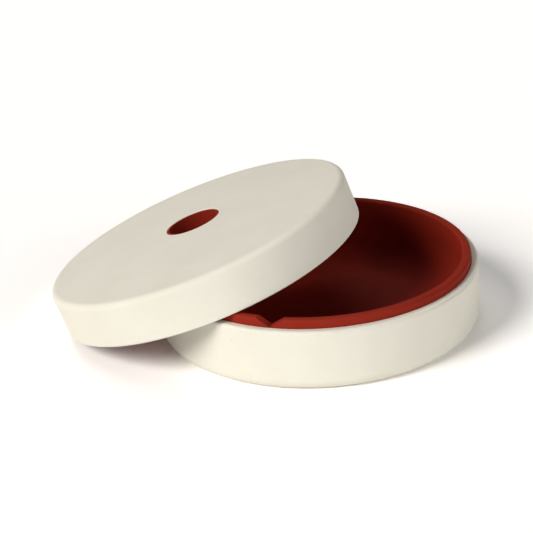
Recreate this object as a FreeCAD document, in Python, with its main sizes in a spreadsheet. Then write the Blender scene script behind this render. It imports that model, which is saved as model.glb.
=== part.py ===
import FreeCAD, Part
import math
import os
import Sketcher

# A low round box for an ink stick and stone: a pale dish with a red bowl in it, and a pale lid
# lined in red, which leans off the dish with one edge on the table. Millimetres and degrees.
# The origin is the middle of the dish's foot, on the table. -Y is the front.

DRIVING_SIZES = {
    # the pale dish
    "box_diameter": 150.0,
    "ledge_height": 28.6,
    "ledge_width": 3.3,
    "ledge_rounding": 1.4,
    "foot_rounding": 5.0,
    "dish_floor": 3.0,
    "dish_corner": 12.0,
    # the red bowl that drops into the dish
    "bowl_clearance": 0.3,
    "bowl_wall": 4.0,
    "bowl_floor": 2.6,
    "bowl_corner": 16.0,
    "upstand_height": 4.0,
    "rim_rounding": 1.2,
    # the notch through the bowl's rim
    "notch_width": 12.8,
    "notch_direction": -109.9,
    # the pale lid, whose skirt goes over the red rim and rests on the pale ledge
    "lid_clearance": 0.6,
    "skirt_wall": 2.4,
    "skirt_height": 21.1,
    "skirt_rounding": 0.7,
    "lid_plate": 2.9,
    "lid_crown": 3.7,
    "lid_edge_rounding": 3.0,
    "hole_radius": 13.25,
    "hole_rounding": 0.3,
    # the red lining under the lid, with a collar up through the hole
    "lining_plate": 1.5,
    "lining_clearance": 0.3,
    "lining_rounding": 0.6,
    "collar_wall": 0.9,
    "collar_drop": 0.2,
    # how the open lid leans
    "lean_reach": 50.9,
    "lean_direction": 165.5,
    "lean_clearance": 0.15,
}

# How near two measures have to be to count as the same, in millimetres
SAME_PLACE = 0.01
# The rough ring that each outline is first drawn on, before its dimensions move it
RING_ACROSS = 60.0
RING_UP = 20.0
RING_RADIUS = 40.0
# The notch takes less than this share of the bowl
MOST_NOTCH_SHARE = 0.01
# The search for the angle of the leaning lid, in degrees
STEEPEST_LEAN = 60.0
LEAN_PRECISION = 0.001
CUBIC_MM_PER_CUBIC_CM = 1000.0

# Formulas of the sheet that several outlines share
BOX_RADIUS = "(Sizes.box_diameter / 2)"
DISH_BORE = f"({BOX_RADIUS} - Sizes.ledge_width)"
BOWL_RADIUS = f"({DISH_BORE} - Sizes.bowl_clearance)"
BOWL_BORE = f"({BOWL_RADIUS} - Sizes.bowl_wall)"
BOWL_TOP = "(Sizes.ledge_height + Sizes.upstand_height)"
BOWL_BASE = "(Sizes.dish_floor + Sizes.bowl_floor)"
SKIRT_BORE = f"({BOWL_RADIUS} + Sizes.lid_clearance)"
LID_RADIUS = f"({SKIRT_BORE} + Sizes.skirt_wall)"
CEILING = "(Sizes.skirt_height - Sizes.lid_plate)"
LINING_UNDERSIDE = f"({CEILING} - Sizes.lining_plate)"
COLLAR_RADIUS = "(Sizes.hole_radius - Sizes.lining_clearance)"
COLLAR_BORE = f"({COLLAR_RADIUS} - Sizes.collar_wall)"
CROWN_RADIUS = f"(({LID_RADIUS} ^ 2 + Sizes.lid_crown ^ 2) / (2 * Sizes.lid_crown))"
CROWN_CENTRE = f"(Sizes.skirt_height + Sizes.lid_crown - {CROWN_RADIUS})"
HOLE_TOP = f"({CROWN_CENTRE} + sqrt({CROWN_RADIUS} ^ 2 - Sizes.hole_radius ^ 2))"
COLLAR_TOP = f"({HOLE_TOP} - Sizes.collar_drop)"

doc = FreeCAD.newDocument("LiddedBox")
sheet = doc.addObject("Spreadsheet::Sheet", "Sizes")
for row, (name, number) in enumerate(DRIVING_SIZES.items(), start=1):
    sheet.set(f"A{row}", name)
    sheet.set(f"B{row}", str(number))
    sheet.setAlias(f"B{row}", name)
doc.recompute()


def size(name):
    return float(sheet.get(name))


def new_body(label):
    body = doc.addObject("PartDesign::Body", label)
    body.Label = label
    return body


def new_sketch(body, name, plane_role):
    """An empty sketch on one of the body's own origin planes."""
    sketch = body.newObject("Sketcher::SketchObject", name)
    plane = next(item for item in body.Origin.OriginFeatures if item.Role == plane_role)
    sketch.AttachmentSupport = (plane, [""])
    sketch.MapMode = "FlatFace"
    return sketch


def bind(sketch, kind, places, present, formula):
    """A dimension of the drawing as it stands, which then follows a formula of the sheet."""
    index = sketch.addConstraint(Sketcher.Constraint(kind, *places, present))
    sketch.setExpression(f"Constraints[{index}]", formula)


def pin_across(sketch, item, point, formula):
    """Hold a point of a line or arc at a distance from the sketch's upright axis."""
    present = sketch.getPoint(item, point).x
    bind(sketch, "DistanceX", (-1, 1, item, point), present, formula)


def pin_up(sketch, item, point, formula):
    """Hold a point of a line or arc at a height over the sketch's origin."""
    present = sketch.getPoint(item, point).y
    bind(sketch, "DistanceY", (-1, 1, item, point), present, formula)


def draw_outline(sketch, corners):
    """Draw a closed outline of straight lines. Each corner is a pair of formulas.

    The corners start on a rough ring, and the solver moves them to their places.
    """
    count = len(corners)
    ring = []
    for index in range(count):
        turn = 2 * math.pi * index / count
        across = RING_ACROSS + RING_RADIUS * math.cos(turn)
        up = RING_UP + RING_RADIUS * math.sin(turn)
        ring.append(FreeCAD.Vector(across, up, 0))
    for index in range(count):
        sketch.addGeometry(Part.LineSegment(ring[index], ring[(index + 1) % count]))
    for index, (across, up) in enumerate(corners):
        sketch.addConstraint(Sketcher.Constraint("Coincident", index, 2, (index + 1) % count, 1))
        pin_across(sketch, index, 1, across)
        pin_up(sketch, index, 1, up)


def revolve(body, sketch, name):
    turned = body.newObject("PartDesign::Revolution", name)
    turned.Profile = sketch
    turned.ReferenceAxis = (sketch, ["V_Axis"])
    turned.Angle = 360
    sketch.Visibility = False
    doc.recompute()
    if turned.Shape.isNull():
        raise ValueError(f"{name} turns nothing")
    return turned


def ring_edges(feature, radius, height):
    """Names of the feature's round edges about its axis with this radius and height."""
    names = []
    for number, edge in enumerate(feature.Shape.Edges, start=1):
        curve = edge.Curve
        if not isinstance(curve, Part.Circle):
            continue
        same_radius = abs(curve.Radius - radius) < SAME_PLACE
        same_height = abs(curve.Center.z - height) < SAME_PLACE
        if same_radius and same_height:
            names.append(f"Edge{number}")
    return names


def round_edges(body, base, name, edges, formula):
    """Round some edges of the base feature to the radius that the formula gives."""
    rounded = body.newObject("PartDesign::Fillet", name)
    rounded.Base = (base, edges)
    rounded.setExpression("Radius", formula)
    doc.recompute()
    if rounded.Shape.Volume == base.Shape.Volume:
        raise ValueError(f"{name} rounds nothing")
    return rounded


# Plain numbers of the shared formulas, to find edges and to place the lid
box_radius = size("box_diameter") / 2
dish_bore = box_radius - size("ledge_width")
bowl_radius = dish_bore - size("bowl_clearance")
bowl_bore = bowl_radius - size("bowl_wall")
bowl_top = size("ledge_height") + size("upstand_height")
bowl_base = size("dish_floor") + size("bowl_floor")
skirt_bore = bowl_radius + size("lid_clearance")
lid_radius = skirt_bore + size("skirt_wall")
lining_underside = size("skirt_height") - size("lid_plate") - size("lining_plate")
collar_bore = size("hole_radius") - size("lining_clearance") - size("collar_wall")
crown_radius = (lid_radius ** 2 + size("lid_crown") ** 2) / (2 * size("lid_crown"))
crown_centre = size("skirt_height") + size("lid_crown") - crown_radius
hole_top = crown_centre + math.sqrt(crown_radius ** 2 - size("hole_radius") ** 2)


def make_dish():
    """The pale dish: upright wall, flat ledge, rounded edge round a flat foot."""
    body = new_body("base_shell")
    sketch = new_sketch(body, "DishOutline", "XZ_Plane")
    draw_outline(sketch, [
        ("0", "0"),
        (BOX_RADIUS, "0"),
        (BOX_RADIUS, "Sizes.ledge_height"),
        (DISH_BORE, "Sizes.ledge_height"),
        (DISH_BORE, "Sizes.dish_floor"),
        ("0", "Sizes.dish_floor"),
    ])
    turned = revolve(body, sketch, "DishTurned")
    foot = ring_edges(turned, box_radius, 0)
    dish = round_edges(body, turned, "FootRounding", foot, "Sizes.foot_rounding")
    ledge = ring_edges(dish, box_radius, size("ledge_height"))
    dish = round_edges(body, dish, "LedgeRounding", ledge, "Sizes.ledge_rounding")
    corner = ring_edges(dish, dish_bore, size("dish_floor"))
    round_edges(body, dish, "DishCorner", corner, "Sizes.dish_corner")
    return body


def notch_shoulders(feature):
    """Names of the two straight edges where the notch's sides meet the rim's flat top."""
    names = []
    for number, edge in enumerate(feature.Shape.Edges, start=1):
        ends = [vertex.Point for vertex in edge.Vertexes]
        level = all(abs(point.z - bowl_top) < SAME_PLACE for point in ends)
        if isinstance(edge.Curve, Part.Line) and level:
            names.append(f"Edge{number}")
    return names


def make_bowl():
    """The red bowl, whose rim stands above the ledge and has one V notch through it.

    The notch is cut towards +X, and the whole bowl is then turned to where the notch points.
    """
    body = new_body("base_liner")
    sketch = new_sketch(body, "BowlOutline", "XZ_Plane")
    draw_outline(sketch, [
        ("0", "Sizes.dish_floor"),
        (BOWL_RADIUS, "Sizes.dish_floor"),
        (BOWL_RADIUS, BOWL_TOP),
        (BOWL_BORE, BOWL_TOP),
        (BOWL_BORE, BOWL_BASE),
        ("0", BOWL_BASE),
    ])
    turned = revolve(body, sketch, "BowlTurned")
    inside = ring_edges(turned, bowl_bore, bowl_base)
    bowl = round_edges(body, turned, "BowlCorner", inside, "Sizes.bowl_corner")
    outside = ring_edges(bowl, bowl_radius, size("dish_floor"))
    outside_formula = "Sizes.dish_corner + 2 * Sizes.bowl_clearance"
    bowl = round_edges(body, bowl, "BowlOutside", outside, outside_formula)

    # the V, with its point at the ledge and its sides run on past the rim's top
    notch = new_sketch(body, "NotchOutline", "YZ_Plane")
    draw_outline(notch, [
        ("0", "Sizes.ledge_height"),
        ("Sizes.notch_width", f"{BOWL_TOP} + Sizes.upstand_height"),
        ("-Sizes.notch_width", f"{BOWL_TOP} + Sizes.upstand_height"),
    ])
    cut = body.newObject("PartDesign::Pocket", "Notch")
    cut.Profile = notch
    cut.Type = "Length"
    cut.setExpression("Length", BOX_RADIUS)
    cut.Reversed = True
    notch.Visibility = False
    doc.recompute()
    share_cut = (bowl.Shape.Volume - cut.Shape.Volume) / bowl.Shape.Volume
    if not 0 < share_cut < MOST_NOTCH_SHARE:
        raise ValueError("the notch cuts nothing, or more than the rim")

    rim = ring_edges(cut, bowl_radius, bowl_top) + ring_edges(cut, bowl_bore, bowl_top)
    round_edges(body, cut, "RimRounding", rim + notch_shoulders(cut), "Sizes.rim_rounding")
    body.Placement = FreeCAD.Placement(
        FreeCAD.Vector(0, 0, 0),
        FreeCAD.Rotation(FreeCAD.Vector(0, 0, 1), size("notch_direction")),
    )
    return body


def make_lid():
    """The pale lid: a gently crowned disc with a round finger hole and a deep skirt.

    Its own frame has the middle of the skirt's open end at the origin.
    """
    body = new_body("lid_shell")
    sketch = new_sketch(body, "LidOutline", "XZ_Plane")
    hole_radius = size("hole_radius")
    skirt_height = size("skirt_height")
    ceiling = skirt_height - size("lid_plate")
    corners = [
        FreeCAD.Vector(lid_radius, skirt_height, 0),
        FreeCAD.Vector(lid_radius, 0, 0),
        FreeCAD.Vector(skirt_bore, 0, 0),
        FreeCAD.Vector(skirt_bore, ceiling, 0),
        FreeCAD.Vector(hole_radius, ceiling, 0),
        FreeCAD.Vector(hole_radius, hole_top, 0),
    ]
    for start, end in zip(corners, corners[1:]):
        sketch.addGeometry(Part.LineSegment(start, end))
    crown = Part.Circle(FreeCAD.Vector(0, crown_centre, 0), FreeCAD.Vector(0, 0, 1), crown_radius)
    rim_turn = math.atan2(skirt_height - crown_centre, lid_radius)
    hole_turn = math.atan2(hole_top - crown_centre, hole_radius)
    arc = sketch.addGeometry(Part.ArcOfCircle(crown, rim_turn, hole_turn))
    last = len(corners) - 2
    for line in range(last):
        sketch.addConstraint(Sketcher.Constraint("Coincident", line, 2, line + 1, 1))
    sketch.addConstraint(Sketcher.Constraint("Coincident", arc, 1, 0, 1))
    sketch.addConstraint(Sketcher.Constraint("Coincident", arc, 2, last, 2))
    # the crown's centre and radius are given, and the wall and the hole run up to meet it
    sketch.addConstraint(Sketcher.Constraint("PointOnObject", arc, 3, -2))
    pin_up(sketch, arc, 3, CROWN_CENTRE)
    bind(sketch, "Radius", (arc,), crown_radius, CROWN_RADIUS)
    pin_across(sketch, 0, 1, LID_RADIUS)
    pin_across(sketch, last, 2, "Sizes.hole_radius")
    for line, across, up in (
        (1, LID_RADIUS, "0"),
        (2, SKIRT_BORE, "0"),
        (3, SKIRT_BORE, CEILING),
        (4, "Sizes.hole_radius", CEILING),
    ):
        pin_across(sketch, line, 1, across)
        pin_up(sketch, line, 1, up)

    turned = revolve(body, sketch, "LidTurned")
    top = ring_edges(turned, lid_radius, skirt_height)
    lid = round_edges(body, turned, "LidEdge", top, "Sizes.lid_edge_rounding")
    rim = ring_edges(lid, lid_radius, 0) + ring_edges(lid, skirt_bore, 0)
    lid = round_edges(body, lid, "SkirtRounding", rim, "Sizes.skirt_rounding")
    hole = ring_edges(lid, hole_radius, hole_top)
    round_edges(body, lid, "HoleRounding", hole, "Sizes.hole_rounding")
    return body


def make_lining():
    """The red lining: a flat disc under the lid with a collar that lines the finger hole."""
    body = new_body("lid_liner")
    sketch = new_sketch(body, "LiningOutline", "XZ_Plane")
    edge = f"({SKIRT_BORE} - Sizes.lining_clearance)"
    draw_outline(sketch, [
        (COLLAR_BORE, LINING_UNDERSIDE),
        (edge, LINING_UNDERSIDE),
        (edge, CEILING),
        (COLLAR_RADIUS, CEILING),
        (COLLAR_RADIUS, COLLAR_TOP),
        (COLLAR_BORE, COLLAR_TOP),
    ])
    turned = revolve(body, sketch, "LiningTurned")
    mouth = ring_edges(turned, collar_bore, lining_underside)
    mouth += ring_edges(turned, skirt_bore - size("lining_clearance"), lining_underside)
    round_edges(body, turned, "LiningRounding", mouth, "Sizes.lining_rounding")
    return body


def lean(angle):
    """The placement of the lid when it leans by this angle.

    The skirt's rounded lower edge touches the table at its lowest point, and the middle of the
    skirt's open end is the lean's reach away from the box's axis.
    """
    tilt = math.radians(angle)
    turn = math.radians(size("lean_direction"))
    reach = size("lean_reach")
    rounding = size("skirt_rounding")
    height = (lid_radius - rounding) * math.sin(tilt) + rounding * (1 - math.cos(tilt))
    place = FreeCAD.Vector(reach * math.cos(turn), reach * math.sin(turn), height)
    tilt_axis = FreeCAD.Vector(-math.sin(turn), math.cos(turn), 0)
    return FreeCAD.Placement(place, FreeCAD.Rotation(tilt_axis, angle))


def rest_angle(lid_shape, base_shape):
    """How steeply the lid leans when it comes down to its clearance over the bowl's rim."""
    low = 0.0
    high = STEEPEST_LEAN
    while high - low > LEAN_PRECISION:
        middle = (low + high) / 2
        trial = lid_shape.copy()
        trial.Placement = lean(middle)
        if trial.distToShape(base_shape)[0] < size("lean_clearance"):
            low = middle
        else:
            high = middle
    return high


dish = make_dish()
bowl = make_bowl()
lid = make_lid()
lining = make_lining()
doc.recompute()

lid_pair = Part.makeCompound([lid.Shape, lining.Shape])
base_pair = Part.makeCompound([dish.Shape, bowl.Shape])
angle = rest_angle(lid_pair, base_pair)
for piece in (lid, lining):
    piece.Placement = lean(angle)
doc.recompute()
print(f"the lid leans by {angle:.2f} degrees")

pieces = [dish, bowl, lid, lining]
for item in doc.Objects:
    if "Invalid" in item.State or "Error" in item.State:
        raise ValueError(f"{item.Label} failed: {item.State}")
for piece in pieces:
    if piece.Shape.isNull() or not piece.Shape.isValid() or len(piece.Shape.Solids) != 1:
        raise ValueError(f"{piece.Label} is not one valid solid")

os.makedirs("parts", exist_ok=True)
for piece in pieces:
    piece.Shape.exportStep(f"parts/{piece.Label}.step")
    print(f"{piece.Label}: {piece.Shape.Volume / CUBIC_MM_PER_CUBIC_CM:.1f} cm3")
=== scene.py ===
import math

import bpy
from mathutils import Matrix, Vector

# A low round box for an ink stick and stone, open, with its lid leaning off the left side.
# Metres, in the same frame as the CAD: the origin is the middle of the foot, -Y is the front.

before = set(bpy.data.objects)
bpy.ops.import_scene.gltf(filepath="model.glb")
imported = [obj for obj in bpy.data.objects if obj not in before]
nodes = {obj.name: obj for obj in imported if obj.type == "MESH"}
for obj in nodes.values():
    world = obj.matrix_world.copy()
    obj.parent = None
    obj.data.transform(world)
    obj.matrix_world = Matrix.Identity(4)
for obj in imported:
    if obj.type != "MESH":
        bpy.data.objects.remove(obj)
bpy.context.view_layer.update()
scene = bpy.context.scene

# The patterns in the plastic: how many cells each has to the metre, and its layers of finer detail
PATTERNS = {
    "clouds of tone": (55.0, 3.0),
    "flecks": (900.0, 1.0),
    "patches of shine": (130.0, 4.0),
    "moulded grain": (2200.0, 2.0),
    "slow swell": (160.0, 2.0),
}
PATTERN_ROUGHNESS = 0.5
# Most of a pattern's values lie between these two
USUAL_LOW = 0.3
USUAL_HIGH = 0.7
# Only the highest values show as flecks, and they take up half of the colour at most
FLECK_START = 0.74
FLECK_FULL = 0.80
FLECK_SHARE = 0.5
# How deep the plastic's relief is
SWELL_DEPTH = 0.00008
GRAIN_DEPTH = 0.000012

# The table: half its width, its colour for the light that falls on it, and its brighter colour to
# the eye, so that only shadows show
FLOOR_HALF = 3.0
FLOOR_IN_LIGHT = (0.90, 0.88, 0.85)
FLOOR_TO_THE_EYE = (1.42, 1.40, 1.41)

# The room's own light, and its pale sides, which fade out between two heights of the direction
ROOM_COLOUR = (1.0, 1.0, 1.0, 1.0)
ROOM_LIGHT = 0.03
SIDES_LIGHT = 0.35
SIDES_FULL_UP_TO = 0.1
SIDES_GONE_FROM = 0.4

WARM = (1.0, 0.96, 0.905)
PALE_WARM = (1.0, 0.98, 0.95)
NEUTRAL = (1.0, 1.0, 1.0)
COOL = (0.92, 0.965, 1.0)
# A soft key over the lid from the left front, low wide lights from the left and the right, so
# that the outside is bright and the bowl stays dark, and a faint high one from the back. Each has
# its turn from +X, its height and its width in degrees, then its share of a plain full light, and
# its colour.
LAMPS = {
    "key": (-150, 36, 30, 0.80, WARM),
    "low_left": (-173, 11, 50, 0.10, NEUTRAL),
    "low_right": (-34, 11, 50, 0.41, PALE_WARM),
    "high_back": (95, 55, 40, 0.17, NEUTRAL),
}

# A low pale card in front of the box
CARD_WIDTH = 0.7
CARD_HEIGHT = 0.03
CARD_IN_FRONT = 0.28
CARD_WATTS = 0.17

# The camera, at the photograph's angle. Its place is in metres, its sensor and lens in millimetres.
MILLIMETRE = 0.001
PITCH = math.radians(23.89)
ROLL = math.radians(-4.09)
DISTANCE = 747.67 * MILLIMETRE
LOOK_AT = Vector((-23.74, 0.0, 27.55)) * MILLIMETRE
SENSOR_WIDTH = 36.0
LENS = 108.07
NEAREST_SEEN = 0.01

# Places of the colours among a Mix node's sockets, and how far apart nodes are laid out
MIX_FIRST = 6
MIX_SECOND = 7
MIX_RESULT = 2
NODE_SPACING = 200


class Tree:
    """A node tree that is filled from left to right."""

    def __init__(self, owner):
        owner.use_nodes = True
        self.tree = owner.node_tree
        self.tree.nodes.clear()
        self.column = 0

    def add(self, kind, label, **settings):
        node = self.tree.nodes.new(kind)
        node.label = label
        node.location = (self.column * NODE_SPACING, 0)
        self.column += 1
        for name, value in settings.items():
            setattr(node, name, value)
        return node

    def link(self, output, target):
        self.tree.links.new(output, target)


def socket(node, name, value):
    node.inputs[name].default_value = value


def pattern(tree, place, label):
    """A noise with the scale and detail that its label has in the table of patterns."""
    scale, detail = PATTERNS[label]
    node = tree.add("ShaderNodeTexNoise", label)
    socket(node, "Scale", scale)
    socket(node, "Detail", detail)
    socket(node, "Roughness", PATTERN_ROUGHNESS)
    tree.link(place, node.inputs["Vector"])
    return node.outputs["Fac"]


def spread(tree, value, label, low, high, start=USUAL_LOW, end=USUAL_HIGH):
    """Maps a value from start..end to low..high."""
    node = tree.add("ShaderNodeMapRange", label)
    socket(node, "From Min", start)
    socket(node, "From Max", end)
    socket(node, "To Min", low)
    socket(node, "To Max", high)
    tree.link(value, node.inputs["Value"])
    return node.outputs["Result"]


def blend_colours(tree, factor, label, first, second):
    """A colour that goes from first to second. Either may be a socket or three numbers."""
    node = tree.add("ShaderNodeMix", label, data_type="RGBA")
    for place, colour in ((MIX_FIRST, first), (MIX_SECOND, second)):
        if isinstance(colour, bpy.types.NodeSocket):
            tree.link(colour, node.inputs[place])
        else:
            node.inputs[place].default_value = (*colour, 1.0)
    tree.link(factor, node.inputs["Factor"])
    return node.outputs[MIX_RESULT]


def bump(tree, height, label, depth, under=None):
    """Fine relief of this depth in metres, laid over another relief."""
    node = tree.add("ShaderNodeBump", label)
    socket(node, "Strength", 1.0)
    socket(node, "Distance", depth)
    tree.link(height, node.inputs["Height"])
    if under is not None:
        tree.link(under, node.inputs["Normal"])
    return node.outputs["Normal"]


def combine(tree, label, operation, first, second):
    """Works out one number from two. The second may be a socket or a number."""
    node = tree.add("ShaderNodeMath", label, operation=operation)
    tree.link(first, node.inputs[0])
    if isinstance(second, bpy.types.NodeSocket):
        tree.link(second, node.inputs[1])
    else:
        node.inputs[1].default_value = second
    return node.outputs[0]


def surface(tree, shader):
    out = tree.add("ShaderNodeOutputMaterial", "surface")
    tree.link(shader.outputs[0], out.inputs["Surface"])


def satin(name, light, dark, fleck, sheen_low, sheen_high, level):
    """Moulded satin plastic: faint clouds of tone, sparse flecks, a fine grain."""
    material = bpy.data.materials.new(name)
    tree = Tree(material)
    place = tree.add("ShaderNodeTexCoord", "place").outputs["Object"]
    cloud_share = spread(tree, pattern(tree, place, "clouds of tone"), "cloud share", 0.0, 1.0)
    tone = blend_colours(tree, cloud_share, "clouded colour", dark, light)
    fleck_share = spread(
        tree, pattern(tree, place, "flecks"), "fleck share", 0.0, FLECK_SHARE, FLECK_START, FLECK_FULL
    )
    tone = blend_colours(tree, fleck_share, "flecked colour", tone, fleck)
    shine = pattern(tree, place, "patches of shine")
    roughness = spread(tree, shine, "roughness", sheen_low, sheen_high)
    relief = bump(tree, pattern(tree, place, "slow swell"), "swell", SWELL_DEPTH)
    relief = bump(tree, pattern(tree, place, "moulded grain"), "grain", GRAIN_DEPTH, relief)

    shader = tree.add("ShaderNodeBsdfPrincipled", "satin plastic")
    tree.link(tone, shader.inputs["Base Color"])
    tree.link(roughness, shader.inputs["Roughness"])
    tree.link(relief, shader.inputs["Normal"])
    socket(shader, "Specular IOR Level", level)
    surface(tree, shader)
    return material


def gloss_share(tree, path):
    """1 for what a gloss shows or what is seen through glass, and 0 for the rest."""
    glossy = path.outputs["Is Glossy Ray"]
    through = path.outputs["Is Transmission Ray"]
    return combine(tree, "in a gloss or through glass", "MAXIMUM", glossy, through)


def make_floor():
    """The pale floor: a white table that keeps the shadows."""
    corners = [
        (-FLOOR_HALF, -FLOOR_HALF, 0),
        (FLOOR_HALF, -FLOOR_HALF, 0),
        (FLOOR_HALF, FLOOR_HALF, 0),
        (-FLOOR_HALF, FLOOR_HALF, 0),
    ]
    mesh = bpy.data.meshes.new("floor")
    mesh.from_pydata(corners, [], [(0, 1, 2, 3)])
    floor = bpy.data.objects.new("floor", mesh)
    scene.collection.objects.link(floor)

    material = bpy.data.materials.new("white_table")
    tree = Tree(material)
    path = tree.add("ShaderNodeLightPath", "kinds of ray")
    camera_ray = path.outputs["Is Camera Ray"]
    eye = combine(tree, "to the eye", "MAXIMUM", camera_ray, gloss_share(tree, path))
    white = blend_colours(tree, eye, "white to the eye", FLOOR_IN_LIGHT, FLOOR_TO_THE_EYE)
    shader = tree.add("ShaderNodeBsdfDiffuse", "white table")
    tree.link(white, shader.inputs["Color"])
    surface(tree, shader)
    mesh.materials.append(material)


def make_room():
    """The room: dim, pale round the sides where a gloss shows it, white where it is seen itself."""
    world = bpy.data.worlds.new("room")
    scene.world = world
    tree = Tree(world)
    direction = tree.add("ShaderNodeTexCoord", "direction").outputs["Generated"]
    split = tree.add("ShaderNodeSeparateXYZ", "height")
    tree.link(direction, split.inputs[0])
    height = split.outputs["Z"]
    sides = spread(tree, height, "pale sides", SIDES_LIGHT, 0.0, SIDES_FULL_UP_TO, SIDES_GONE_FROM)
    path = tree.add("ShaderNodeLightPath", "kinds of ray")
    pale_sides = combine(tree, "sides in a gloss", "MULTIPLY", sides, gloss_share(tree, path))
    seen = combine(tree, "seen", "MAXIMUM", path.outputs["Is Camera Ray"], pale_sides)
    strength = combine(tree, "strength", "MAXIMUM", seen, ROOM_LIGHT)
    room = tree.add("ShaderNodeBackground", "room")
    socket(room, "Color", ROOM_COLOUR)
    tree.link(strength, room.inputs["Strength"])
    out = tree.add("ShaderNodeOutputWorld", "world")
    tree.link(room.outputs[0], out.inputs["Surface"])


def toward(azimuth, elevation):
    """The direction from the origin at this turn from +X and this height, in degrees."""
    turn = math.radians(azimuth)
    rise = math.radians(elevation)
    return Vector((
        math.cos(rise) * math.cos(turn),
        math.cos(rise) * math.sin(turn),
        math.sin(rise),
    ))


def aim(lamp, away):
    """Turns a lamp so that it shines from that direction towards the origin."""
    lamp.rotation_euler = away.to_track_quat("Z", "Y").to_euler()


def wide_light(name, azimuth, elevation, width, share, colour):
    """A soft light from far away. A white surface that faces it is lit to share."""
    data = bpy.data.lights.new(name, "SUN")
    data.color = colour
    data.energy = math.pi * share
    data.angle = math.radians(width)
    lamp = bpy.data.objects.new(name, data)
    aim(lamp, toward(azimuth, elevation))
    scene.collection.objects.link(lamp)


def low_card():
    """The pale card in front, which lights the upright walls and isn't seen itself."""
    data = bpy.data.lights.new("low_card", "AREA")
    data.shape = "RECTANGLE"
    data.size = CARD_WIDTH
    data.size_y = CARD_HEIGHT
    data.energy = CARD_WATTS
    data.color = COOL
    card = bpy.data.objects.new("low_card", data)
    card.location = (0.0, -CARD_IN_FRONT, CARD_HEIGHT / 2)
    aim(card, Vector((0, -1, 0)))
    card.visible_camera = False
    scene.collection.objects.link(card)


def make_camera():
    """The camera, level from side to side before its roll, and looking down by its pitch."""
    data = bpy.data.cameras.new("camera")
    data.sensor_width = SENSOR_WIDTH
    data.lens = LENS
    data.clip_start = NEAREST_SEEN
    camera = bpy.data.objects.new("camera", data)
    scene.collection.objects.link(camera)
    forward = Vector((0, math.cos(PITCH), -math.sin(PITCH)))
    camera.matrix_world = (
        Matrix.Translation(LOOK_AT - forward * DISTANCE)
        @ Matrix.Rotation(math.pi / 2 - PITCH, 4, "X")
        @ Matrix.Rotation(ROLL, 4, "Z")
    )
    scene.camera = camera


pale = satin(
    "pale_satin",
    light=(0.848, 0.825, 0.73),
    dark=(0.818, 0.795, 0.70),
    fleck=(0.62, 0.585, 0.49),
    sheen_low=0.56,
    sheen_high=0.66,
    level=0.2,
)
red = satin(
    "red_satin",
    light=(0.295, 0.024, 0.012),
    dark=(0.269, 0.022, 0.011),
    fleck=(0.21, 0.012, 0.005),
    sheen_low=0.56,
    sheen_high=0.68,
    level=0.06,
)
finish = {"base_shell": pale, "lid_shell": pale, "base_liner": red, "lid_liner": red}
for name, material in finish.items():
    mesh = nodes[name].data
    mesh.materials.clear()
    mesh.materials.append(material)

make_floor()
make_room()
for name, settings in LAMPS.items():
    wide_light(name, *settings)
low_card()
make_camera()
scene.view_settings.view_transform = "Standard"
